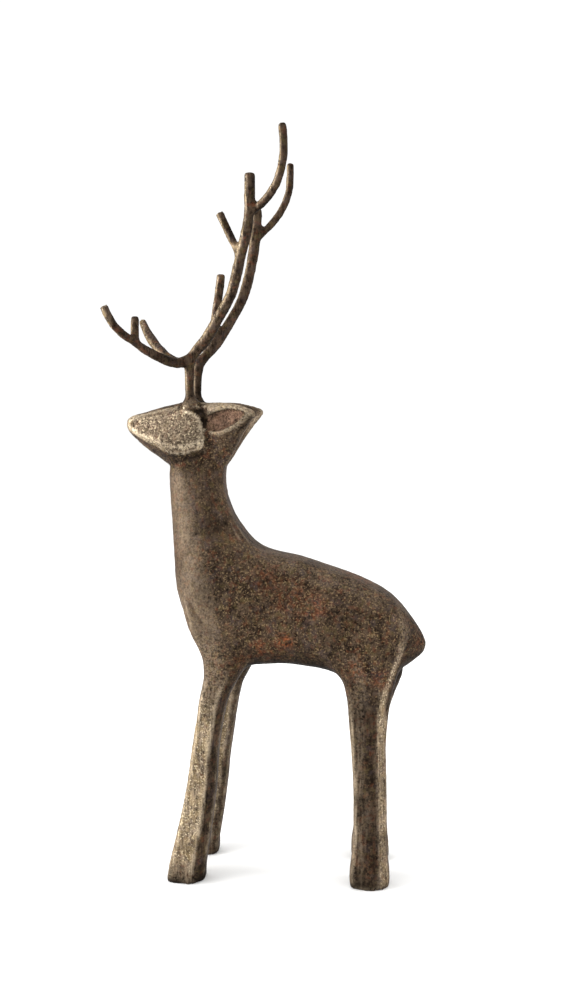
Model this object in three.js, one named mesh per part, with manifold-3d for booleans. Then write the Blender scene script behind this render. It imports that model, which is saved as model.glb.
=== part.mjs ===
// Cast iron stag, standing: a slim decorative figure cast in one piece, with rod antlers.
// Millimetres, +Z up. The stag faces -X, its right side is +Y and its feet stand on Z = 0.
// Every form is a run of cross sections: torso and neck, head, two ears, four legs and the
// antler rods. The forms run deep into each other and are joined to one solid.

import * as THREE from 'three';
import Module from 'manifold-3d';
import { mergeVertices } from 'three/addons/utils/BufferGeometryUtils.js';

// Driving dimensions, all in millimetres
const BACK_HEIGHT = 238;
const BELLY_HEIGHT = 156;
const CROWN_HEIGHT = 349;
const BODY_HALF_WIDTH = 31;
const NECK_HALF_WIDTH = 18;
const HEAD_HALF_WIDTH = 20.5;
const LEG_SPACING = 50;
const LEG_THICKNESS = 20;
const FOOT_THICKNESS = 24;
const ANTLER_STEM_SPACING = 26;
const STEM_DIAMETER = 7;
const BEAM_DIAMETER = 8;
const TINE_DIAMETER = 6.2;

// The two legs of a pair differ a little: the far foreleg stands further back, with its foot
// taking part of that offset, and the far thigh is deeper at the back
const FAR_FORELEG_OFFSET = 5;
const FOOT_SHARE = 0.6;
const FAR_THIGH_DEPTH = 6;

const IRON = { color: 0x4b3a2c, roughness: 0.62, metalness: 0.55 };

const NEAR = -1;
const FAR = 1;

// A section is a soft polygon. Each flat has a direction in degrees and a distance from the
// middle, in a square that is stretched to the section's real half sizes. 0 degrees points
// along the section's first axis, 90 degrees along its second one.
const TORSO = {
  flats: [[0, 1.02], [48, 1.12], [90, 1], [132, 1.08], [180, 1], [228, 1.08], [270, 1], [312, 1.12]],
  pointsPerFlat: 3,
};
const HEAD = {
  flats: [[0, 1], [42, 1.14], [82, 0.93], [138, 0.98], [180, 1], [222, 0.98], [278, 0.93], [318, 1.14]],
  pointsPerFlat: 3,
};
const FORELEG = {
  flats: [[0, 1], [46, 0.955], [101, 0.92], [180, 1], [232, 1.15], [270, 1], [308, 1.15]],
  pointsPerFlat: 2,
};
const HIND_LEG = {
  flats: [[0, 1], [43, 0.967], [81, 0.963], [109, 0.99], [180, 1], [232, 1.15], [270, 1], [308, 1.15]],
  pointsPerFlat: 2,
};
const EAR = { sides: 14 };
const ROD = { sides: 8 };

// Sharpness of the edges between flats, and how close to an edge a section has its points
const radians = THREE.MathUtils.degToRad;
const EDGE_SHARPNESS = 16;
const EDGE_EASE = radians(6);
const FULL_TURN = 2 * Math.PI;

// Distance from the middle of a soft polygon to its edge in the direction of an angle
function reach(angle, flats) {
  let sum = 0;
  for (const [direction, distance] of flats) {
    const facing = Math.max(0, Math.cos(angle - radians(direction)));
    sum += (facing / distance) ** EDGE_SHARPNESS;
  }
  return sum ** (-1 / EDGE_SHARPNESS);
}

// Angles of the corners between each flat and the next one round
function cornerAngles(flats) {
  return flats.map(([direction, distance], i) => {
    const [nextDirection, nextDistance] = flats[(i + 1) % flats.length];
    const turn = radians(nextDirection - direction);
    const fromFlat = Math.atan2(nextDistance / distance - Math.cos(turn), Math.sin(turn));
    const wrapped = Math.sin(turn) < 0 ? fromFlat + Math.PI : fromFlat;
    return radians(direction) + (wrapped % Math.PI);
  });
}

// Points of a section's outline as pairs, scaled so that they touch all sides of their square
function sectionOutline({ flats, pointsPerFlat, sides }) {
  if (sides) {
    return Array.from({ length: sides }, (_, i) => {
      const angle = (FULL_TURN * i) / sides;
      return [Math.cos(angle), Math.sin(angle)];
    });
  }
  const points = [];
  const corners = cornerAngles(flats);
  corners.forEach((corner, i) => {
    const start = corner + EDGE_EASE;
    const next = i + 1 < corners.length ? corners[i + 1] : corners[0] + FULL_TURN;
    const end = next - EDGE_EASE;
    for (let k = 0; k < pointsPerFlat; k++) {
      const angle = start + ((end - start) * k) / (pointsPerFlat - 1);
      const r = reach(angle, flats);
      points.push([r * Math.cos(angle), r * Math.sin(angle)]);
    }
  });
  for (const axis of [0, 1]) {
    const low = Math.min(...points.map((p) => p[axis]));
    const high = Math.max(...points.map((p) => p[axis]));
    for (const point of points) point[axis] = (2 * (point[axis] - low)) / (high - low) - 1;
  }
  return points;
}

// One value on the smooth curve through four others, at t between the middle two
function smooth(a, b, c, d, t) {
  const slopeB = (c - a) / 2;
  const slopeC = (d - b) / 2;
  const t2 = t * t;
  const t3 = t2 * t;
  const fromB = (2 * t3 - 3 * t2 + 1) * b + (t3 - 2 * t2 + t) * slopeB;
  const fromC = (3 * t2 - 2 * t3) * c + (t3 - t2) * slopeC;
  return fromB + fromC;
}

// Rows of numbers with further rows between them, each column on its own smooth curve
function refine(rows, steps) {
  const at = (i) => rows[Math.min(rows.length - 1, Math.max(0, i))];
  const out = [];
  for (let i = 0; i < rows.length - 1; i++) {
    for (let k = 0; k < steps; k++) {
      out.push(rows[i].map((_, col) => (
        smooth(at(i - 1)[col], at(i)[col], at(i + 1)[col], at(i + 2)[col], k / steps)
      )));
    }
  }
  out.push(rows[rows.length - 1]);
  return out;
}

// A closed skin over a run of sections. Each section has a middle and two half axes.
function skin(sections, style) {
  const outline = sectionOutline(style);
  const sides = outline.length;
  const positions = [];
  for (const { middle, first, second } of sections) {
    for (const [a, b] of outline) {
      const p = middle.clone().addScaledVector(first, a).addScaledVector(second, b);
      positions.push(p.x, p.y, p.z);
    }
  }
  const triangles = [];
  for (let row = 0; row < sections.length - 1; row++) {
    for (let i = 0; i < sides; i++) {
      const j = (i + 1) % sides;
      const a = row * sides + i;
      const b = row * sides + j;
      triangles.push(a, b, b + sides, a, b + sides, a + sides);
    }
  }
  const caps = [[0, sections[0].middle, 1], [sections.length - 1, sections.at(-1).middle, -1]];
  for (const [row, middle, turn] of caps) {
    const centre = positions.length / 3;
    positions.push(middle.x, middle.y, middle.z);
    for (let i = 0; i < sides; i++) {
      const a = row * sides + i;
      const b = row * sides + ((i + 1) % sides);
      triangles.push(centre, ...(turn > 0 ? [b, a] : [a, b]));
    }
  }
  const geometry = new THREE.BufferGeometry();
  geometry.setAttribute('position', new THREE.Float32BufferAttribute(positions, 3));
  geometry.setIndex(signedVolume(positions, triangles) < 0 ? triangles.reverse() : triangles);
  return geometry;
}

function signedVolume(positions, triangles) {
  const corner = (i) => new THREE.Vector3().fromArray(positions, 3 * i);
  let volume = 0;
  for (let i = 0; i < triangles.length; i += 3) {
    const [a, b, c] = [corner(triangles[i]), corner(triangles[i + 1]), corner(triangles[i + 2])];
    volume += a.dot(b.cross(c)) / 6;
  }
  return volume;
}

// Torso and neck: sections that stand across the body, each from a lower point (x, z) on
// the throat, chest or belly to an upper point (x, z) on the nape, back or rump.
function torso() {
  const w = BODY_HALF_WIDTH;
  const back = BACK_HEIGHT;
  const belly = BELLY_HEIGHT;
  const rows = [
    [-58, 348, -26, 347, NECK_HALF_WIDTH - 4],
    [-60, 334, -21, 331, NECK_HALF_WIDTH - 1.5],
    [-64, 319, -23, 315, NECK_HALF_WIDTH - 1],
    [-67, 303, -26.5, 302, NECK_HALF_WIDTH - 1],
    [-67.4, 287, -27, 288, NECK_HALF_WIDTH - 0.5],
    [-65.8, 264, -25, 277, NECK_HALF_WIDTH + 1],
    [-64.3, 238, -20.5, 265.5, NECK_HALF_WIDTH + 4],
    [-62.2, 212, -14, 255.5, w - 5],
    [-54.5, 188, -6, 246, w - 2],
    [-43, 167, 4, 240.5, w - 0.5],
    [-28, 155, 14, back, w],
    [-6, belly + 0.5, 25, back - 2, w],
    [18, belly + 2, 38, back - 6, w],
    [40, belly - 0.5, 53, back - 11, w],
    [60, 150, 70, 221, w],
    [80, 145, 88, 212.5, w - 1],
    [94, 150, 100, 203, w - 5],
    [105, 156.5, 110.5, 190, 16],
    [112.5, 161, 116.5, 181, 10],
    [118, 166, 120, 173.5, 4.5],
  ];
  const sections = refine(rows, 2).map(([vx, vz, dx, dz, width]) => ({
    middle: new THREE.Vector3((vx + dx) / 2, 0, (vz + dz) / 2),
    first: new THREE.Vector3((dx - vx) / 2, 0, (dz - vz) / 2),
    second: new THREE.Vector3(0, width, 0),
  }));
  return skin(sections, TORSO);
}

// Head: a blunt wedge with flat cheeks, in upright sections from the muzzle to the skull.
// Each row is x, the top, the underside and the half width.
function head() {
  const w = HEAD_HALF_WIDTH;
  const top = CROWN_HEIGHT;
  const rows = [
    [-98.4, 334.5, 328.5, 5],
    [-97, 336.8, 326, 8.5],
    [-92, 338.8, 320.5, 11.5],
    [-84, 340.8, 313.8, 14.5],
    [-75, 343.5, 307.5, w - 3.5],
    [-65, 346, 300.5, w - 1],
    [-55, top - 1, 299, w + 1],
    [-46, top - 1, 302, w + 1],
    [-40.5, top - 2, 306, w],
    [-37.5, top - 4, 311, w - 3.5],
  ];
  const sections = refine(rows, 2).map(([x, high, low, width]) => ({
    middle: new THREE.Vector3(x, 0, (high + low) / 2),
    first: new THREE.Vector3(0, 0, (high - low) / 2),
    second: new THREE.Vector3(0, width, 0),
  }));
  return skin(sections, HEAD);
}

// Ear: a thick leaf that grows out of the nape and sweeps back and out. Each row gives a
// point (x, y, z) on the upper edge, one on the lower edge and the half thickness.
const EAR_ROWS = [
  [-50, 8, 343, -38, 4, 298, 7],
  [-43, 11, 346.5, -30, 5, 299, 8],
  [-35, 15, 348, -25, 7, 303, 9],
  [-26, 19.5, 348, -20, 11, 312, 8.8],
  [-18, 23.5, 347, -14.5, 16.5, 321.5, 7.3],
  [-10.5, 27, 345.2, -8, 22, 331, 5.2],
  [-3.5, 29.5, 342.8, -2.5, 28, 338.5, 2.8],
];

// The hollow in an ear: a smaller leaf set further out than the ear's own middle. Its front
// end runs out into the notch behind the cheek.
const EAR_HOLLOW_ROWS = [
  [-45, 18, 338, -43, 15, 328, 4.5],
  [-34, 24.5, 343, -32, 19, 327, 6.5],
  [-23, 31.5, 347, -21, 26, 330.5, 7.5],
  [-13.5, 35.5, 346, -12, 31, 335.5, 5.5],
  [-4, 39, 343.5, -4.5, 36, 340, 3],
];

const EAR_OUTWARD = new THREE.Vector2(-0.45, 0.9);

function leaf(side, rows) {
  const sections = refine(rows, 2).map(([ux, uy, uz, lx, ly, lz, thickness]) => {
    const upper = new THREE.Vector3(ux, side * uy, uz);
    const lower = new THREE.Vector3(lx, side * ly, lz);
    return {
      middle: upper.clone().add(lower).multiplyScalar(0.5),
      first: upper.clone().sub(lower).multiplyScalar(0.5),
      second: new THREE.Vector3(EAR_OUTWARD.x, side * EAR_OUTWARD.y, 0).multiplyScalar(thickness),
    };
  });
  return skin(sections, EAR);
}

// Leg: level sections from the sole up into the body. Each row is the height, the front and
// rear x, how far the middle lies in from the leg's line, and the half thickness.
function leg(side, style, rows) {
  const sections = refine(rows, 2).map(([z, front, rear, inset, thickness]) => ({
    middle: new THREE.Vector3((front + rear) / 2, side * (LEG_SPACING / 2 - inset), z),
    first: new THREE.Vector3((rear - front) / 2, 0, 0),
    second: new THREE.Vector3(0, side * thickness, 0),
  }));
  return skin(sections, style);
}

function foreleg(side, lean) {
  const foot = FOOT_THICKNESS / 2;
  const shin = LEG_THICKNESS / 2;
  const low = FOOT_SHARE * lean;
  return leg(side, FORELEG, [
    [0, -68 + low, -40 + low, 0, foot],
    [12, -66 + low, -39.5 + low, 0, foot - 0.5],
    [28, -62 + low, -37 + low, 0, shin + 0.5],
    [52, -56.5 + low, -33.5 + low, 0, shin],
    [76, -52 + low, -31 + low, 0.7, shin],
    [100, -48.5 + lean, -29.5 + lean, 1.4, shin + 0.2],
    [122, -45 + lean, -26 + lean, 2.6, shin + 1],
    [138, -43 + lean, -21.5 + lean, 4.5, shin + 2.2],
    [151, -41, -14 + lean, 7, shin + 3.6],
    [165, -42.5, -7, 10, shin + 5.5],
    [186, -52, -8, 13, shin + 7.5],
    [208, -58, -16, 17, shin + 7],
    [228, -58, -26, 20, shin + 5],
  ]);
}

function hindLeg(side, thigh) {
  const foot = FOOT_THICKNESS / 2;
  const shin = LEG_THICKNESS / 2;
  return leg(side, HIND_LEG, [
    [0, 65.5, 94.5, 0, foot],
    [12, 65.5, 94, 0, foot - 0.5],
    [27, 67.5, 92.5, 0, shin + 0.5],
    [52, 68, 92, 0, shin],
    [78, 67.5, 91.5, 0.7, shin],
    [102, 66, 91, 1.4, shin + 0.4],
    [124, 64, 92.3 + thigh / 2, 2.8, shin + 1.6],
    [138, 62, 95 + thigh, 4.6, shin + 3],
    [150, 59, 98.5 + thigh, 7, shin + 4.2],
    [163, 49, 101, 10, shin + 6],
    [182, 50, 102, 13, shin + 8],
    [202, 62, 97, 17, shin + 6],
  ]);
}

// Rod along a smooth line of points, with a blunt end. Each row is x, y, z and a diameter.
function rod(rows, steps) {
  const line = refine(rows, steps);
  const points = line.map(([x, y, z]) => new THREE.Vector3(x, y, z));
  const up = new THREE.Vector3(0, 1, 0);
  const sections = points.map((middle, i) => {
    const ahead = points[Math.min(points.length - 1, i + 1)];
    const behind = points[Math.max(0, i - 1)];
    const along = ahead.clone().sub(behind).normalize();
    const first = up.clone().cross(along).normalize();
    const second = along.clone().cross(first).normalize();
    const radius = line[i][3] / 2;
    return { middle, first: first.multiplyScalar(radius), second: second.multiplyScalar(radius) };
  });
  return skin(sections, ROD);
}

// Antler on one side: a short upright stem, a brow tine swept forward and a beam swept back
// that forks at the top. Each rod is a number of steps between rows and its rows, which are
// given for y > 0 and turned to the side asked for.
function antler(side, rods) {
  return rods.map(([steps, rows]) => rod(rows.map(([x, y, z, d]) => [x, side * y, z, d]), steps));
}

const STEM_Y = ANTLER_STEM_SPACING / 2;

const NEAR_ANTLER = [
  [2, [
    [-50, STEM_Y, 340, STEM_DIAMETER + 7],
    [-50, STEM_Y, 347.5, STEM_DIAMETER + 6],
    [-50.6, STEM_Y, 352.5, STEM_DIAMETER + 0.6],
    [-50.6, STEM_Y + 0.5, 364, STEM_DIAMETER],
    [-49, STEM_Y + 2, 379, STEM_DIAMETER + 1.5],
    [-38, STEM_Y + 6, 391, BEAM_DIAMETER + 0.8],
    [-27.5, STEM_Y + 13, 406.5, BEAM_DIAMETER + 0.3],
    [-17.5, STEM_Y + 20, 422, BEAM_DIAMETER],
    [-10.5, STEM_Y + 28, 444, BEAM_DIAMETER + 0.4],
    [-4.4, STEM_Y + 34, 465, BEAM_DIAMETER],
    [-2.5, STEM_Y + 37, 484, BEAM_DIAMETER],
    [-2.4, STEM_Y + 38, 499, BEAM_DIAMETER],
  ]],
  [2, [
    [-2, 48, 475, TINE_DIAMETER],
    [5.5, 52, 478.5, TINE_DIAMETER],
    [16, 57, 490.5, TINE_DIAMETER],
    [21, 60, 509, TINE_DIAMETER],
    [20, 60, 528, TINE_DIAMETER],
  ]],
  [2, [
    [-10, 41, 446, TINE_DIAMETER + 1.5],
    [-14, 40, 453.5, TINE_DIAMETER],
    [-24.7, 38, 475.5, TINE_DIAMETER],
  ]],
  [2, [
    [-47, 16, 380, TINE_DIAMETER + 2.5],
    [-58, 20, 375, TINE_DIAMETER + 1.6],
    [-71, 30, 380, TINE_DIAMETER + 1],
    [-84, 43, 389, TINE_DIAMETER + 0.2],
    [-94.6, 54, 399.4, TINE_DIAMETER],
    [-99.8, 60, 412, TINE_DIAMETER],
  ]],
  [1, [
    [-82, 42, 387, TINE_DIAMETER],
    [-83.6, 40, 395, TINE_DIAMETER + 0.2],
    [-84, 36, 406.5, TINE_DIAMETER],
  ]],
];

const FAR_ANTLER = [
  [2, [
    [-50, STEM_Y, 340, STEM_DIAMETER + 8],
    [-49.5, STEM_Y, 347, STEM_DIAMETER + 6],
    [-49.5, STEM_Y, 352, STEM_DIAMETER + 0.6],
    [-49.5, STEM_Y + 0.5, 364, STEM_DIAMETER],
    [-47.5, STEM_Y + 3, 377, STEM_DIAMETER + 1.5],
    [-36.6, STEM_Y + 9, 391, BEAM_DIAMETER + 0.8],
    [-25.6, STEM_Y + 16, 410, BEAM_DIAMETER],
    [-18, STEM_Y + 22, 426, BEAM_DIAMETER + 0.2],
    [-13, STEM_Y + 29, 448, BEAM_DIAMETER + 1],
    [-10, STEM_Y + 33, 470, BEAM_DIAMETER + 0.6],
    [-9, STEM_Y + 36, 484, BEAM_DIAMETER],
    [-9, STEM_Y + 38, 494, BEAM_DIAMETER],
  ]],
  [2, [
    [-9, 46, 470.5, TINE_DIAMETER + 0.4],
    [-2.8, 50, 477, TINE_DIAMETER],
    [8, 55.5, 491, TINE_DIAMETER],
    [14.7, 59, 508, TINE_DIAMETER],
    [15.3, 60, 529, TINE_DIAMETER],
  ]],
  [1, [
    [-39, 19, 386, TINE_DIAMETER + 1],
    [-37.4, 22, 408, TINE_DIAMETER + 1],
    [-34.8, 24, 427, TINE_DIAMETER + 0.8],
    [-33, 25, 442, TINE_DIAMETER + 0.8],
  ]],
  [2, [
    [-48, 16, 378, TINE_DIAMETER + 2.5],
    [-62, 20, 376.5, TINE_DIAMETER + 1.4],
    [-76, 29, 382, TINE_DIAMETER + 1.8],
    [-89.2, 44, 394.2, TINE_DIAMETER + 2.2],
    [-96, 53, 403, TINE_DIAMETER + 0.8],
    [-100.5, 60, 410.5, TINE_DIAMETER],
  ]],
];

const WELD_DISTANCE = 1e-4;

const wasm = await Module();
wasm.setup();

function toSolid(geometry) {
  const merged = mergeVertices(geometry, WELD_DISTANCE);
  return new wasm.Manifold(new wasm.Mesh({
    numProp: 3,
    vertProperties: new Float32Array(merged.attributes.position.array),
    triVerts: new Uint32Array(merged.index.array),
  }));
}

function toGeometry(solid) {
  const { vertProperties, triVerts } = solid.getMesh();
  const geometry = new THREE.BufferGeometry();
  geometry.setAttribute('position', new THREE.BufferAttribute(new Float32Array(vertProperties), 3));
  geometry.setIndex(new THREE.BufferAttribute(new Uint32Array(triVerts), 1));
  return geometry;
}

function casting() {
  const forms = [
    torso(),
    head(),
    foreleg(NEAR, 0),
    foreleg(FAR, FAR_FORELEG_OFFSET),
    hindLeg(NEAR, 0),
    hindLeg(FAR, FAR_THIGH_DEPTH),
    ...antler(NEAR, NEAR_ANTLER),
    ...antler(FAR, FAR_ANTLER),
  ];
  const ears = [NEAR, FAR].map((side) => (
    toSolid(leaf(side, EAR_ROWS)).subtract(toSolid(leaf(side, EAR_HOLLOW_ROWS)))
  ));
  let solid = ears[0].add(ears[1]);
  for (const form of forms) solid = solid.add(toSolid(form));
  return toGeometry(solid);
}

function stag() {
  const geometry = casting();
  geometry.computeBoundingBox();
  const { min, max } = geometry.boundingBox;
  geometry.translate(-(min.x + max.x) / 2, -(min.y + max.y) / 2, -min.z);
  geometry.computeVertexNormals();
  const mesh = new THREE.Mesh(geometry, new THREE.MeshStandardMaterial(IRON));
  mesh.name = 'stag';
  return mesh;
}

const group = new THREE.Group();
group.add(stag());

export default group;
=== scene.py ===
import math

import bmesh
import bpy
import numpy as np
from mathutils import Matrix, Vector, noise


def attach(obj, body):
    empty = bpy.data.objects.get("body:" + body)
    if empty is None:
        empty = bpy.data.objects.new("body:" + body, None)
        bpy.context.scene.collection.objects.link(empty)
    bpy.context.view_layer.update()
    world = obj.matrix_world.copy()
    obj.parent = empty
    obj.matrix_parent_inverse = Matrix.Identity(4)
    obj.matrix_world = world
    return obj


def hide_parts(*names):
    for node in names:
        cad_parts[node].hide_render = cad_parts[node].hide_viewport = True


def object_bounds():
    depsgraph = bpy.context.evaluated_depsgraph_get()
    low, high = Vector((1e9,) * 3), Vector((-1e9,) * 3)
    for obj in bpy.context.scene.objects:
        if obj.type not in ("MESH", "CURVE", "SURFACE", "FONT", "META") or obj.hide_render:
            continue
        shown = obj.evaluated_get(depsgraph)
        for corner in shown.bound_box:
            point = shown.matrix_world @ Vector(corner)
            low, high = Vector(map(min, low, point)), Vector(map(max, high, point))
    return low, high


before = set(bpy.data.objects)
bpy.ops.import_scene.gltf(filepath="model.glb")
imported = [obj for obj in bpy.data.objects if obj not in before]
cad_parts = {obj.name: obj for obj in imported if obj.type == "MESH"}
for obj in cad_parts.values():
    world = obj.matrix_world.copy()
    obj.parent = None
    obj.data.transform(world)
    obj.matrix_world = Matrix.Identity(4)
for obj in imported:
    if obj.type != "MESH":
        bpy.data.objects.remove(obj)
CAD_BOX = [list(corner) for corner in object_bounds()]
MM = 0.001
print("the solid's box in mm:", [[round(v / MM, 1) for v in corner] for corner in CAD_BOX])

# %% [markdown]
# ## An even mesh to work on
# The solid has long thin triangles with hard edges, which is right for measuring but can't
# be dented or softened. A voxel remesh lays a grid of small squares over the whole figure
# and gives one even net, so every later step can treat all points alike. The square's size
# is a balance: it has to be finer than an antler tine and coarse enough to stay light.
# %% Remesh the figure into small squares
NET_SIZE = 1.35 * MM
WELD = 0.01 * MM  # points of the solid that are closer than this are one


def even_net(source, size):
    """A copy of the source's mesh, as an even net of squares of about that size."""
    mesh = source.data.copy()
    loose = bmesh.new()
    loose.from_mesh(mesh)
    bmesh.ops.remove_doubles(loose, verts=loose.verts, dist=WELD)
    loose.to_mesh(mesh)
    loose.free()
    piece = bpy.data.objects.new("stag_casting", mesh)
    bpy.context.collection.objects.link(piece)
    remesh = piece.modifiers.new("net", "REMESH")
    remesh.mode = "VOXEL"
    remesh.voxel_size = size
    graph = bpy.context.evaluated_depsgraph_get()
    even = bpy.data.meshes.new_from_object(piece.evaluated_get(graph))
    piece.modifiers.clear()
    piece.data = even
    return piece


stag = even_net(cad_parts["stag"], NET_SIZE)
stag.data.calc_loop_triangles()
print("points in the net:", len(stag.data.vertices))
print("triangles, which have to stay under 200000:", len(stag.data.loop_triangles))

# %% [markdown]
# ## Points as arrays
# Nearly a hundred thousand points are moved several times. One by one in Python that is
# slow, so they are handled as arrays, a column each for x, y and z. The first tools read the
# points and their directions from the mesh and write the points back.
# %% Read and write the points
EDGES = np.empty(len(stag.data.edges) * 2, dtype=np.int64)
stag.data.edges.foreach_get("vertices", EDGES)
EDGES = EDGES.reshape(-1, 2)
COUNT = len(stag.data.vertices)
NEIGHBOURS = np.bincount(EDGES.ravel(), minlength=COUNT)


def read_points():
    """All points, one row each, in metres."""
    flat = np.empty(COUNT * 3)
    stag.data.vertices.foreach_get("co", flat)
    return flat.reshape(-1, 3)


def write_points(points):
    """Puts the points back and lets the mesh work out its normals again."""
    stag.data.vertices.foreach_set("co", points.ravel())
    stag.data.update()


def read_normals():
    """The outward direction at each point."""
    flat = np.empty(COUNT * 3, dtype=np.float32)
    stag.data.vertex_normals.foreach_get("vector", flat)
    return flat.reshape(-1, 3).astype(float)


print("neighbours of a point, least and most:", NEIGHBOURS.min(), NEIGHBOURS.max())

# %% [markdown]
# ## Softening and soft steps
# A wet sand mould rounds a sharp pattern. Moving each point towards the middle of its
# neighbours does the same, and a modifier could do it, but a function of one's own can also
# smooth any other number on the mesh. The second tool is a step with a soft climb, from
# which every mask further on is made.
# %% Soften values over the net
def neighbour_mean(values):
    """For each point, the mean of its neighbours' values."""
    total = np.zeros_like(values)
    columns = values.reshape(COUNT, -1)
    sums = total.reshape(COUNT, -1)
    for near, far in ((EDGES[:, 0], EDGES[:, 1]), (EDGES[:, 1], EDGES[:, 0])):
        for column in range(columns.shape[1]):
            sums[:, column] += np.bincount(near, weights=columns[far, column], minlength=COUNT)
    return (sums / NEIGHBOURS[:, None]).reshape(values.shape)


EASE = 0.5  # how far a value moves towards its neighbours' mean in one round


def softened(values, rounds):
    """Values after that many rounds of moving part of the way to the neighbours' mean."""
    for _ in range(rounds):
        values = values + EASE * (neighbour_mean(values) - values)
    return values


def step(values, low, high):
    """0 below low, 1 above high and a soft climb between them."""
    t = np.clip((values - low) / (high - low), 0, 1)
    return t * t * (3 - 2 * t)


def band(values, begin, full, fade, end):
    """1 from full to fade, 0 before begin and after end, with a soft climb on each side."""
    return step(values, begin, full) * (1 - step(values, fade, end))


print("a soft step from 0 to 10, at 2, 5 and 8:", step(np.array((2, 5, 8)), 0, 10).round(2))

# %% [markdown]
# ## Round the edges as a mould does
# Where two forms meet on the real stag there is a small fillet, because molten iron and
# sand don't hold a knife edge. A few rounds of smoothing make those fillets. The tops of
# the legs flow into the body and get many rounds, the forks of the antlers and the rims of
# the feet get some, and the long edges get very few, so that the facets stay readable.
# %% Soften the net, more at the joints
# Each place is a middle in mm (x, distance from the middle plane, z) and a reach in mm.
LEG_TOPS = [
    ((-36, 16, 158), 34),
    ((52, 18, 152), 34),
    ((94, 12, 152), 30),
]
BODY = [((0, 22, 150), 40), ((20, 22, 226), 46), ((66, 20, 208), 46), ((92, 10, 186), 34)]
FORKS = [
    ((-59, 13, 350), 9),
    ((-54, 17, 380), 12),
    ((-19, 42, 448), 12),
    ((-13, 47, 474), 12),
    ((-92, 42, 388), 8),
]
CORE = 0.4  # share of a place's reach that is softened in full
FOOT_RIM = (4, 9)  # heights in mm between which the softening of the feet fades
EDGE_ROUNDS = 2


def nearness(points, places):
    """How close each point is to the nearest of some places, from 0 to 1."""
    folded = np.column_stack((points[:, 0], np.abs(points[:, 1]), points[:, 2])) / MM
    share = np.zeros(COUNT)
    for middle, reach in places:
        distance = np.linalg.norm(folded - middle, axis=1)
        share = np.maximum(share, 1 - step(distance, CORE * reach, reach))
    return share[:, None]


plain = read_points()
cast = softened(plain, EDGE_ROUNDS)
for share, rounds in (
    (nearness(plain, BODY), 24),
    (nearness(plain, LEG_TOPS), 60),
    (nearness(plain, FORKS), 12),
    (1 - step(plain[:, 2] / MM, *FOOT_RIM)[:, None], 9),
):
    cast = cast * (1 - share) + softened(plain, rounds) * share
write_points(cast)
form = read_normals()
print("largest move in mm:", round(float(np.abs(cast - plain).max() / MM), 2))

# %% [markdown]
# ## The rounded corner of each cheek
# Each cheek is a flat plate that stands a little proud of the head. Its upper rear corner is
# rounded off, so a small dark triangle is left between the plate, the antler and the ear.
# A cut through the net would tear it. Moving its points inwards keeps it whole, so the skin
# beyond that round corner, as far as the ear, is set back by about a millimetre.
# %% Set back the skin behind the corner
CORNER_MIDDLE = (-62, 329)  # x and z, in mm
CORNER_RADIUS = 13.5
CORNER_BLEND = 0.8  # half the width of the step from the plate to the skin behind it
SET_BACK = 1.1 * MM


def behind_corner(points, directions):
    """1 beyond the plate's rounded corner, as far as the ear, and 0 on the plate."""
    behind = points[:, 0] / MM - CORNER_MIDDLE[0]
    above = points[:, 2] / MM - CORNER_MIDDLE[1]
    from_middle = np.hypot(behind, above) - CORNER_RADIUS
    beyond = step(from_middle, -CORNER_BLEND, CORNER_BLEND)
    beyond *= (behind > 0) * (1 - step(behind, 15, 16.5))
    beyond *= (above > 0) * (1 - step(above, 13, 16))
    return beyond * step(np.abs(directions[:, 1]), 0.6, 0.8)


corner = behind_corner(cast, form)
cast = cast - form * (SET_BACK * corner)[:, None]
write_points(cast)
form = read_normals()
print("points set back:", int((corner > 0.5).sum()))

# %% [markdown]
# ## The skin of a sand casting
# Close up, the iron is never flat: there are broad low waves from the hand-carved pattern,
# shallow dents a few millimetres wide, and small pits where sand stuck to the metal. All
# are real dents in the mesh here, so that light and outline show them from every side.
# %% Waves, dents and pits as moves along the normal
WAVE = (22 * MM, 0.22 * MM)  # distance from crest to crest, height
DENT = (6.5 * MM, 0.12 * MM)
GRAIN = (2.6 * MM, 0.13 * MM)
PIT = (4.2 * MM, 0.26 * MM)  # distance from pit to pit, depth
PIT_SHARE = 0.3  # share of the places for a pit that have one
PIT_RADIUS = 0.42  # as a share of the distance from pit to pit
CELL_SPREAD = 7.31  # draws pits that are next to each other from different cells of noise
SOLES = (0.9 * MM, 6 * MM)  # no relief below the first height, all of it above the second
ANTLER_FOOT = (348 * MM, 358 * MM)
ANTLER_RELIEF = 0.4  # share of the relief that the slim antlers keep


def waves(points, size):
    """Smooth noise between about -1 and 1, whose bumps are that size."""
    return np.array([noise.noise(Vector(p)) for p in points / size])


def pits(points, size, share):
    """Round holes, 1 deep in the middle and 0 outside, in that share of the cells."""
    depth = np.zeros(COUNT)
    for i, p in enumerate(points / size):
        distances, middles = noise.voronoi(Vector(p))
        if noise.cell(middles[0] * CELL_SPREAD) < share:
            depth[i] = max(0.0, 1 - (distances[0] / PIT_RADIUS) ** 2)
    return depth


print("relief in mm, waves, dents, grain and pits:")
print([round(item[1] / MM, 2) for item in (WAVE, DENT, GRAIN, PIT)])

# %% Press the relief into the net
height = cast[:, 2]
shift = WAVE[1] * waves(cast, WAVE[0])
shift += DENT[1] * waves(cast + 0.1, DENT[0])
shift += GRAIN[1] * waves(cast + 0.2, GRAIN[0])
pit_depth = pits(cast, PIT[0], PIT_SHARE)
shift -= PIT[1] * pit_depth
shift *= (1 - (1 - ANTLER_RELIEF) * step(height, *ANTLER_FOOT)) * step(height, *SOLES)
skin = cast + form * shift[:, None]
low, high = np.array(CAD_BOX)
skin = np.clip(skin, low, high)
skin[skin[:, 2] < 0.5 * SOLES[0], 2] = 0  # the soles stand flat on the ground
write_points(skin)
print("pitted share of the surface:", round(float((pit_depth > 0.2).mean()), 3))

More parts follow.
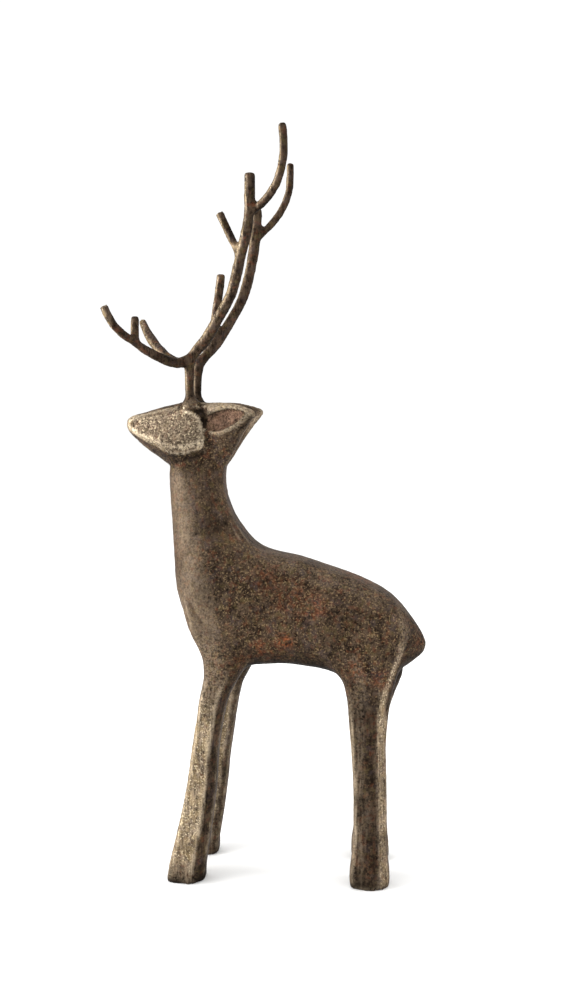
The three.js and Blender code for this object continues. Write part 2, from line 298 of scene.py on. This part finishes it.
# %% [markdown]
# ## Where wear, dirt and painted light belong
# A rubbed finish follows the form: cloth and hands reach the ridges and the plates that
# stand out, and wax and dirt stay in the hollows; the ridges also get painted highlight and
# the hollows painted shade. Both can be measured. Where the softened surface lies inside the
# real one, the point is on a ridge; where it lies outside, the point is in a hollow. More
# rounds of softening measure wider forms.
# %% Measure ridges and hollows at several sizes
def bulge(points, directions, rounds):
    """How far each point stands out from its softened surroundings, in millimetres."""
    return ((points - softened(points, rounds)) * directions).sum(axis=1) / MM


dent_bulge = bulge(skin, read_normals(), 4)
line_bulge = bulge(cast, form, 5)
edge_bulge = bulge(cast, form, 12)
wide_bulge = bulge(cast, form, 70)
print("bulge in mm, dents, thin lines, edges and wide forms:")
for values in (dent_bulge, line_bulge, edge_bulge, wide_bulge):
    print(np.percentile(values, (5, 50, 90, 97)).round(3))

# %% [markdown]
# ## Masks from place and direction
# One casting has no seams at which a finish could change, so each part of it is found by
# where a point lies and which way it faces. A mask is a number from 0 to 1 at every point,
# made of soft steps. The places are in millimetres, with x from the muzzle to the rump and
# z upwards, and the directions run from -1 to 1. Masks are stored on the mesh by name, and
# the material reads them there. Painting them by hand would be lost whenever the net changes.
# %% Find the part that each point lies on
x, y, z = (cast / MM).T
side = np.abs(y)  # distance from the middle plane
back_facing, side_facing, up_facing = form[:, 0], np.abs(form[:, 1]), form[:, 2]

on_antler = step(z, 347, 355)
antler_root = 1 - step(np.hypot(x + 58, z - 350), 5, 9)
on_head = step(z, 303, 310) * (1 - on_antler) * (1 - antler_root)
on_neck = band(z, 225, 260, 295, 308)
on_leg = 1 - step(z, 150, 170)
foreleg = (x < 0) * (1 - step(z, 130, 165))
hind_leg = (x > 0) * (1 - step(z, 120, 150))
ear = step(side, 9, 13) * step(x, -46.5, -44.5) * step(z, 322, 328) * (1 - on_antler)
jaw = step(z, 290, 297) * (1 - step(x, -54, -48)) * step(-up_facing, 0.1, 0.4)
notch = step(side, 9, 13) * band(x, -50, -47, -40, -36) * step(z, 310, 316)  # before the ear
print("share of the net on the head:", round(float(on_head.mean()), 3))

# %% Store ridges, hollows and pits
def store(name, values):
    """Keeps one number for each point on the mesh."""
    layer = stag.data.attributes.new(name, "FLOAT", "POINT")
    layer.data.foreach_set("value", np.clip(values, 0, 1).astype(np.float32))
    print(f"{name}: mean {values.mean():.3f}, highest {values.max():.3f}")


# Ridge lines are lightened partly as real edge wear and partly as painted highlight, most on
# the head and along the back of the neck.
nape = step(x, -35, -20) * step(z, 200, 215) * (1 - on_head) * step(side, 6, 10)
ear_or_face = np.maximum(0.35 * ear, 1 - step(x, -48, -46))
shown = 0.12 + 0.88 * on_head * ear_or_face + 0.25 * on_leg + 0.5 * nape
store("ridge", step(line_bulge, 0.05, 0.16) * shown * (1 - on_antler))
# Darker in creases and hollows: partly dirt and wax, partly painted shade, as under the ear's
# upper rim.
hollow = step(-edge_bulge, 0.04, 0.35) + 0.8 * step(-wide_bulge, 0.3, 2.0)
hollow *= (1 - 0.8 * ear) * (1 - 0.8 * notch) * (1 - 0.6 * jaw) * step(x, -106, -100)
store("hollow", hollow + 0.3 * antler_root)
store("pitted", pit_depth * step(-dent_bulge, -0.02, 0.10))

# %% [markdown]
# ## The rubbed plates, and painted light on faces and edges
# Some faces of the stag were rubbed back to a warm grey whatever their ridges: the flat
# cheeks and the muzzle. The same warm grey is painted light on the faces that turn to the
# lamps: the front of the neck and chest, the forelegs, more so towards the feet, the corners
# of the hind legs and the top of the back. A thin painted highlight also follows some edges:
# down the neck, over the rump and down the haunch and thigh. Each such line is drawn as the
# x that it has at a few heights, with straight pieces between them.
# %% The rubbed head, and painted light on the neck
# Cheeks and muzzle: real rubbed wear. Throat: painted light on the front facets of neck and
# chest; neck line: a painted highlight.
cheek = step(side_facing, 0.75, 0.9) * (1 - step(x, -50, -46)) * step(side, 9, 12)
cheek *= band(z, 311, 314, 344, 347) * (1 - antler_root) * (1 - corner)
muzzle = 1 - step(x, -108, -103)
THROAT_EDGE = ((143, 171, 207, 235, 291), (-33, -35, -41, -49, -59))  # heights, x at each
behind_edge = x - np.interp(z, *THROAT_EDGE)
throat = (1 - step(behind_edge, -9, 8)) * band(z, 140, 165, 292, 304) * step(side, 2, 10)
neck_line = (1 - step(np.abs(behind_edge + 5), 1.5, 4.5)) * step(side, 4, 10)
neck_line *= band(z, 200, 230, 285, 300)
neck_shade = band(behind_edge, 3, 12, 13, 26) * step(side_facing, 0.3, 0.6)
neck_shade *= band(z, 165, 195, 305, 318)
rubbed_front = 0.8 * np.maximum(cheek, muzzle) + 0.5 * throat + 0.12 * neck_line
print("rubbed share of head and neck:", round(float(rubbed_front.mean()), 3))

# %% Painted light on the rump and legs
RUMP_LINE = ((166, 182, 198, 213), (90, 95.5, 94, 88))  # heights, x at each
HAUNCH_LINE = ((120, 145, 172), (76, 82, 93))
THIGH_LINE = ((130, 170), (67, 60))


def behind(line):
    """How far behind a line on its side each point of the stag lies, in mm."""
    return x - np.interp(z, *line)


# Painted light: the rump, haunch and thigh lines are painted highlights, and the shins, hocks
# and top of the back are faces lightened towards the lamps.
rump = (1 - step(np.abs(behind(RUMP_LINE)), 1.5, 5)) * step(side, 4, 8)
rump *= band(z, 168, 176, 208, 216)
haunch = (1 - step(np.abs(behind(HAUNCH_LINE)), 1, 3)) * band(z, 118, 130, 168, 178)
haunch *= step(side_facing, 0.35, 0.6) * (x > 0)
thigh = (1 - step(np.abs(behind(THIGH_LINE)), 2, 6)) * band(z, 120, 140, 160, 178)
thigh *= step(side_facing, 0.5, 0.8)
top_line = step(up_facing, 0.4, 0.7) * band(z, 185, 200, 240, 255) * (1 - step(x, 80, 90))
shin = foreleg * step(-back_facing, -0.55, -0.02) * (0.65 + 0.43 * (1 - step(z, 100, 150)))
shin *= 0.6 + 0.4 * step(z, 8, 30)
rear_corner = band(back_facing, 0.35, 0.5, 0.8, 0.95)
front_corner = step(-back_facing, 0.1, 0.25)
front_half = 1 - step(x, 64, 68)
hock = hind_leg * (0.78 * rear_corner + 0.25 * front_corner + 0.28 * front_half)
rubbed_back = shin + hock + 0.5 * rump + 0.85 * haunch + 0.35 * thigh + 0.2 * top_line
print("rubbed share of rump and legs:", round(float(rubbed_back.mean()), 3))

# %% [markdown]
# ## The antlers, and how the finish is laid
# The antlers get painted light on the side towards the muzzle and painted shade on the
# other. Two more masks say how the specks look rather than how light a face is: "drawn"
# stretches them into streaks, as on the antlers and legs, where the cloth went up and down,
# and "even" fades them out, as on the smooth throat.
# %% Store the rubbed and painted-light faces, drawn streaks and even places
# Painted light on the side of each tine towards the muzzle, painted shade on the side away
# from it.
tine_front = -0.85 * back_facing - 0.1 * up_facing
tine_painted_light = on_antler * step(tine_front, 0.1, 0.6)
tine_painted_shade = on_antler * step(-tine_front, 0.1, 0.6)
store("rubbed", rubbed_front + rubbed_back + 0.9 * tine_painted_light)
store("drawn", on_antler + 0.7 * (1 - step(z, 120, 160)) + 0.25 * on_neck)
store("even", np.maximum(0.9 * throat * step(z, 165, 190), 0.5 * on_neck))

# %% [markdown]
# ## The ears, the dark places and the rust
# The hollow of each ear is reddish above its lower rim. Painted shade darkens all that faces
# the ground, the rims of the feet, the tail, the leg facets turned from the lamps, the
# antlers' side away from the muzzle, a band down the neck and the strip behind the light
# line of the haunch.
# Rust has no form of its own to follow, so its patches are listed one by one, most of them on
# the flank and a few on the side that the photograph doesn't show.
# %% Store the ears and the painted shade
EAR_LINE = ((-44, -34, -26, -16), (327, 326, 331, 339))  # x, height of the lower rim at each
above_line = step(z - np.interp(x, *EAR_LINE), 0, 1.5)
inner_face = above_line * (1 - step(z, 343, 346)) * (1 - step(back_facing, 0.35, 0.6))
store("ear_inside", ear * inner_face * step(-edge_bulge, -0.05, 0.05))

# Painted shade: faces turned down, leg facets turned from the lamps, the foot rims, the tail
# and the strip behind the haunch.
below = step(-up_facing, 0.45, 0.85) * step(z, 8, 30) * (1 - 0.7 * jaw)
shin_painted_shade = 0.45 * hind_leg * step(side_facing, 0.9, 0.97)
shin_painted_shade += 0.3 * foreleg * step(back_facing, 0.3, 0.5)
tail = step(x, 90, 97) * band(z, 160, 170, 200, 210) * (1 - haunch)
behind_haunch = step(behind(HAUNCH_LINE), 2, 4) * band(z, 122, 132, 164, 170) * (x > 0)
foot_shade = 0.8 * (1 - step(z, 1, 7)) + 0.15 * (1 - step(z, 5, 25))
store("underside", below + shin_painted_shade + behind_haunch + foot_shade
      + 0.62 * tine_painted_shade + 0.6 * tail + 0.25 * neck_shade)

# %% Store the rust
RUST = [  # place in mm, reach in mm and strength
    ((10, -31, 178), 9, 1.0), ((-6, -31, 172), 10, 0.8), ((2, -31, 163), 12, 0.6),
    ((-22, -31, 162), 10, 0.5), ((32, -31, 205), 12, 0.5), ((14, -31, 212), 16, 0.4),
    ((-2, -30, 224), 14, 0.4), ((60, -30, 160), 9, 0.7), ((78, -28, 152), 9, 0.5),
    ((104, -16, 196), 10, 0.5), ((108, -10, 178), 9, 0.5), ((-70, -8, 240), 16, 0.3),
    ((-36, 30, 190), 18, 0.6), ((30, 31, 176), 20, 0.7), ((70, 29, 196), 16, 0.5),
    ((60, 0, 218), 16, 0.5), ((-40, 24, 240), 14, 0.4), ((70, -25, 20), 14, 0.4),
]
rust = np.zeros(COUNT)
for middle, reach, strength in RUST:
    distance = np.linalg.norm(cast / MM - middle, axis=1)
    rust = np.maximum(rust, strength * (1 - step(distance, 0.3 * reach, 1.2 * reach)))
store("rust", rust)

# %% [markdown]
# ## Writing a finish as sums
# A material is a graph of nodes. Drawn by hand, a large graph is hard to follow, so here a
# value from a node is wrapped in a small class, and an ordinary sum or product of such
# values adds the Math nodes for it. Every other kind of node comes from one method. Colours
# are given as they look on a screen and turned into the linear form that nodes use.
# %% A value that varies over the surface
class Value:
    """The output of a shader node, usable in ordinary sums."""

    def __init__(self, finish, socket):
        self.finish = finish
        self.socket = socket

    def __add__(self, other):
        return self.finish.maths("ADD", self, other)

    def __radd__(self, other):
        return self.finish.maths("ADD", other, self)

    def __sub__(self, other):
        return self.finish.maths("SUBTRACT", self, other)

    def __rsub__(self, other):
        return self.finish.maths("SUBTRACT", other, self)

    def __mul__(self, other):
        return self.finish.maths("MULTIPLY", self, other)

    def __rmul__(self, other):
        return self.finish.maths("MULTIPLY", other, self)


print("values can be added, subtracted and multiplied")

# %% A colour from screen levels
def colour(red, green, blue):
    """A colour given as it looks on a screen, 0 to 255, in the linear form that nodes use."""
    def linear(level):
        level = level / 255
        return level / 12.92 if level <= 0.04045 else ((level + 0.055) / 1.055) ** 2.4
    return (linear(red), linear(green), linear(blue), 1)


print("mid-brown in linear form:", [round(level, 3) for level in colour(96, 80, 64)])

# %% A finish and its nodes
class Finish:
    """A material whose nodes are made by one method."""

    def __init__(self, name):
        self.material = bpy.data.materials.new(name)
        self.material.use_nodes = True
        self.tree = self.material.node_tree
        self.tree.nodes.clear()
        self.place = self.node("ShaderNodeTexCoord", output="Object")

    def node(self, kind, settings=None, sockets=None, output=0):
        """Adds a node, sets it, gives its sockets values or links, and returns an output."""
        made = self.tree.nodes.new(kind)
        for name, setting in (settings or {}).items():
            setattr(made, name, setting)
        for key, given in (sockets or {}).items():
            if isinstance(given, Value):
                self.tree.links.new(given.socket, made.inputs[key])
            else:
                made.inputs[key].default_value = given
        return Value(self, made.outputs[output]) if len(made.outputs) else made

    def maths(self, operation, first, second):
        """One sum of two values, or of a value and a plain number."""
        return self.node("ShaderNodeMath", {"operation": operation}, {0: first, 1: second})

    def stored(self, name):
        """A number kept on the mesh."""
        return self.node("ShaderNodeAttribute", {"attribute_name": name}, output="Fac")

    def ramp(self, value, low, high):
        """0 below low, 1 above high and a soft climb between them."""
        return self.node(
            "ShaderNodeMapRange",
            {"interpolation_type": "SMOOTHSTEP"},
            {"Value": value, "From Min": low, "From Max": high},
        )

    def cloud(self, size, detail, roughness=0.5, stretch=(1, 1, 1), shift=0.0):
        """Noise from 0 to 1 whose blotches have that size in mm."""
        where = self.node(
            "ShaderNodeMapping",
            {},
            {"Vector": self.place, "Location": (shift, shift, shift), "Scale": stretch},
        )
        sockets = {"Vector": where, "Scale": 1 / (size * MM), "Detail": detail}
        return self.node("ShaderNodeTexNoise", {}, {**sockets, "Roughness": roughness})

    def blend(self, share, first, second):
        """A mix of two colours."""
        return self.node(
            "ShaderNodeMix",
            {"data_type": "RGBA", "clamp_factor": True},
            {0: share, 6: first, 7: second},  # the factor and the two colours
            output=2,  # the mixed colour
        )


print("a finish has:", [name for name in vars(Finish) if not name.startswith("_")])

# %% [markdown]
# ## Brown patina over iron
# The real finish is built up in coats. A near-black brown goes on first, and a bronze brown
# is brushed over it unevenly, with olive, grey and red stains in it. A painted image would
# need unwrapping and has only one size. Noise at several sizes needs neither, and the nodes
# follow the order of the coats, so that one can be changed without touching the others.
# %% The dark coat, the bronze coat and the stains
iron = Finish("patinated_iron_finish")
broad = iron.cloud(15, 3, 0.6)
middling = iron.cloud(4, 3, 0.6, shift=0.3)
fine = iron.cloud(1.5, 3, 0.65, shift=0.6)
streaks = iron.cloud(1.6, 2, 0.5, stretch=(1, 1, 0.12), shift=0.9)
drawn = iron.stored("drawn")
mottle = fine * (0.85 - drawn * 0.6) + streaks * (0.15 + drawn * 0.6)

unevenness = broad * 0.25 + middling * 0.27 + mottle * 0.48
even = iron.stored("even") * 0.5
brushed = iron.ramp(unevenness, 0.40, 0.62) * (1 - even) + even * 0.7
DARK_COAT = colour(26, 19, 14)
BRONZE_COAT = colour(84, 69, 56)
coats = iron.blend(brushed, DARK_COAT, BRONZE_COAT)
STAINS = [  # size of the blotches in mm, colour and strength
    (5, colour(84, 72, 47), 0.55),  # olive
    (9, colour(70, 60, 60), 0.45),  # grey
    (4, colour(104, 58, 38), 0.35),  # red
]
for size, stain, strength in STAINS:
    patch = iron.ramp(iron.cloud(size, 3, 0.6, shift=size / 7), 0.52, 0.68)
    coats = iron.blend(patch * strength, coats, stain)
print("nodes so far:", len(iron.tree.nodes))

# %% [markdown]
# ## Metal that shows through
# Where the coats are rubbed back, a warm grey shows through in specks, and the same warm
# grey is painted light on the faces that turn to the lamps. It is brighter along the ridges,
# partly as wear and partly as painted highlight. Small glints lie in it, and duller ochre ones
# on the rest. The legs and antlers are more golden. The masks say where, and the noise breaks
# them up, so that no rubbed or lit face ends in a clean line.
# %% Rubbed metal, painted light and glints
rubbed = iron.stored("rubbed")
ridge_wear_and_highlight = iron.stored("ridge")
dirt_and_shade_in_hollows = iron.stored("hollow")
speckle = iron.ramp(mottle, 0.42, 0.60) * (1 - even) + even * 0.6
bare_and_lit_share = rubbed * (speckle * 0.6 + 0.2) + ridge_wear_and_highlight * (speckle * 0.45 + 0.3)
# Warm grey: real rubbed metal on the cheeks and muzzle, painted light on the lit faces, and
# partly painted highlight along the ridges.
WORN_AND_LIT_METAL = colour(150, 133, 113)
coats = iron.blend(bare_and_lit_share * (1 - dirt_and_shade_in_hollows * 0.8), coats, WORN_AND_LIT_METAL)
# A bright tone along the ridges: partly real edge wear, partly painted highlight.
EDGE_WEAR_AND_HIGHLIGHT = colour(212, 195, 168)
coats = iron.blend(ridge_wear_and_highlight * (speckle * 0.45 + 0.25), coats, EDGE_WEAR_AND_HIGHLIGHT)
glints = iron.ramp(iron.cloud(1.3, 1, 0.5, shift=3.1), 0.56, 0.68)
well_rubbed = iron.ramp(rubbed, 0.55, 0.95)
GLINT = colour(226, 208, 174)
glint_share = well_rubbed * (0.75 - drawn * 0.25) + ridge_wear_and_highlight * 0.4
coats = iron.blend(glints * glint_share, coats, GLINT)
GOLDEN = colour(172, 149, 106)
golden_share = drawn * well_rubbed * iron.ramp(middling, 0.42, 0.58) * 0.35
coats = iron.blend(golden_share, coats, GOLDEN)
OCHRE = colour(134, 113, 84)
ochre_share = (1 - drawn) * (1 - well_rubbed) * (1 - even) * 0.6
coats = iron.blend(glints * ochre_share, coats, OCHRE)
print("nodes with rubbed metal:", len(iron.tree.nodes))

# %% [markdown]
# ## Rust, dirt and painted shade
# Rust came through the finish in small patches, and it also reddens the ears. Dirt and wax
# went on last, so they come last here, together with the painted shade: the hollows get dirt
# and painted shade, the undersides and other shaded faces painted shade, and the casting pits
# dirt; dirt also lies over the whole in a few broad smoky clouds and leaves dark flecks.
# %% Rust and the red of the ears
rust_patch = iron.stored("rust") * iron.ramp(iron.cloud(3.0, 4, 0.65, shift=4.2), 0.40, 0.62)
RUST_DARK = colour(92, 52, 34)
RUST_BRIGHT = colour(158, 88, 52)
rust_colour = iron.blend(iron.ramp(fine, 0.45, 0.68), RUST_DARK, RUST_BRIGHT)
coats = iron.blend(rust_patch * 0.8, coats, rust_colour)
EAR_RED = colour(138, 108, 90)
coats = iron.blend(iron.stored("ear_inside") * (speckle * 0.55 + 0.3), coats, EAR_RED)
print("nodes with rust:", len(iron.tree.nodes))

# %% Dirt, painted shade and dark flecks
DIRT_AND_SHADE = colour(22, 17, 13)
flecks = 1 - iron.ramp(iron.cloud(1.9, 2, 0.6, shift=5.5), 0.34, 0.42)
smoked = iron.ramp(iron.cloud(26, 2, 0.5, shift=7.4), 0.47, 0.62)
# One dark colour for dirt and painted shade: the hollows are partly painted shade, the stored
# painted shade wholly; the pits, smoky clouds and flecks are dirt.
dirt_and_shade = smoked * 0.3 + dirt_and_shade_in_hollows * 0.75
dirt_and_shade = dirt_and_shade + iron.stored("underside") * 0.7 + iron.stored("pitted") * 0.5
coats = iron.blend(dirt_and_shade + flecks * (0.55 - drawn * 0.2) * (1 - even), coats, DIRT_AND_SHADE)
print("nodes with dirt:", len(iron.tree.nodes))

# %% [markdown]
# ## Shine and grain
# The coats are waxed, so they shine a little, and the metal that shows through, with the
# faces of painted light, shines more than the rust, the dirt and the painted shade do. The
# finest grain of the sand is too small for the net, so it is the one thing that is left to a
# bump, about a third of a millimetre deep.
# %% Shine and grain, and the finished material
bare_and_lit = bare_and_lit_share * (1 - dirt_and_shade_in_hollows)
metal_share = 0.3 + bare_and_lit * 0.45 - rust_patch * 0.3
matt_share = 0.42 + middling * 0.16 - bare_and_lit * 0.12 + rust_patch * 0.2 + dirt_and_shade * 0.1
grain_height = fine * 0.6 + iron.cloud(0.7, 2, 0.5, shift=6.1) * 0.2 + streaks * 0.2
GRAIN_DEPTH = 0.3 * MM
grain = iron.node(
    "ShaderNodeBump",
    {},
    {"Strength": 0.8, "Distance": GRAIN_DEPTH, "Height": grain_height},
)
EDGE_TINT = colour(150, 125, 100)
metal = iron.node(
    "ShaderNodeBsdfPrincipled",
    {},
    {
        "Base Color": coats,
        "Metallic": metal_share,
        "Roughness": matt_share,
        "Normal": grain,
        "IOR": 1.25,
        "Specular IOR Level": 0.3,
        "Specular Tint": EDGE_TINT,
    },
)
iron.node("ShaderNodeOutputMaterial", {}, {"Surface": metal})
stag.data.materials.clear()
stag.data.materials.append(iron.material)
stag.data.polygons.foreach_set("use_smooth", [True] * len(stag.data.polygons))
print("nodes in the finish:", len(iron.tree.nodes))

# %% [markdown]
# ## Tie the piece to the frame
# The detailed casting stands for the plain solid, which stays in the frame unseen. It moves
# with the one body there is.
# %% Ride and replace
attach(stag, "root")
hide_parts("stag")

# %% [markdown]
# ## The floor
# A product photograph of this kind has a white ground that runs out of sight. One large
# round sheet does that, and being round it has no corner in any view.
# %% A wide pale floor
FLOOR_RADIUS = 14  # in metres
bpy.ops.mesh.primitive_circle_add(vertices=96, radius=FLOOR_RADIUS, fill_type="NGON")
floor = bpy.context.object
floor.name = "floor"
paper = Finish("white_paper")
tone = paper.blend(paper.cloud(300, 2), colour(252, 252, 251), colour(254, 254, 253))
sheet = paper.node("ShaderNodeBsdfPrincipled", {}, {"Base Color": tone, "Roughness": 0.9})
paper.node("ShaderNodeOutputMaterial", {}, {"Surface": sheet})
floor.data.materials.append(paper.material)
print("floor across, in metres:", 2 * FLOOR_RADIUS)

# %% [markdown]
# ## Soft studio light
# The stag stands in bright, even light. A large lamp at its front left picks out the
# facets that face it, a smaller one at the right draws the light line down the rump and
# hind legs, a weak one above lights the back, and white surroundings fill the rest.
# %% White surroundings
ROOM_BRIGHTNESS = 1.05
room = bpy.data.worlds.new("white_room")
room.use_nodes = True
background = room.node_tree.nodes["Background"]
background.inputs["Color"].default_value = (1, 1, 1, 1)
background.inputs["Strength"].default_value = ROOM_BRIGHTNESS
bpy.context.scene.world = room
bpy.context.scene.view_settings.view_transform = "Standard"
print("brightness of the room:", ROOM_BRIGHTNESS)

# %% Three lamps
MIDDLE = Vector((0, 0, 0.25))  # the middle of the stag, in metres


def lamp(name, place, size, power):
    """A square lamp that faces the stag, with its place and size in metres."""
    data = bpy.data.lights.new(name, "AREA")
    data.size = size
    data.energy = power
    made = bpy.data.objects.new(name, data)
    made.location = place
    made.rotation_euler = (MIDDLE - Vector(place)).to_track_quat("-Z", "Y").to_euler()
    bpy.context.collection.objects.link(made)


lamp("front_left_lamp", (-1.45, -0.55, 0.7), 0.9, 26)
lamp("right_lamp", (1.4, -0.15, 0.55), 0.5, 9)
lamp("top_lamp", (-0.2, 0.3, 1.7), 0.8, 8)

# %% [markdown]
# ## The camera
# The photograph was taken from about three quarters of a metre, a little above the middle
# of the stag and a little to its rear. The lens and place below came from lining up the
# outline of the solid with the outline in the photograph.
# %% Place the camera
CAMERA_PLACE = Vector((0.0740, -0.7542, 0.3498))
CAMERA_TARGET = Vector((0.0146, 0.0, 0.277))
FILM_HEIGHT = 36.0  # this and the focal length are in mm
FOCAL_LENGTH = 37.62
camera = bpy.data.objects.new("camera", bpy.data.cameras.new("camera"))
bpy.context.collection.objects.link(camera)
camera.data.sensor_fit = "VERTICAL"
camera.data.sensor_height = FILM_HEIGHT
camera.data.lens = FOCAL_LENGTH
camera.location = CAMERA_PLACE
camera.rotation_euler = (CAMERA_TARGET - CAMERA_PLACE).to_track_quat("-Z", "Y").to_euler()
bpy.context.scene.camera = camera
view_height = 2 * math.degrees(math.atan(FILM_HEIGHT / 2 / FOCAL_LENGTH))
print("height of the view in degrees:", round(view_height, 1))
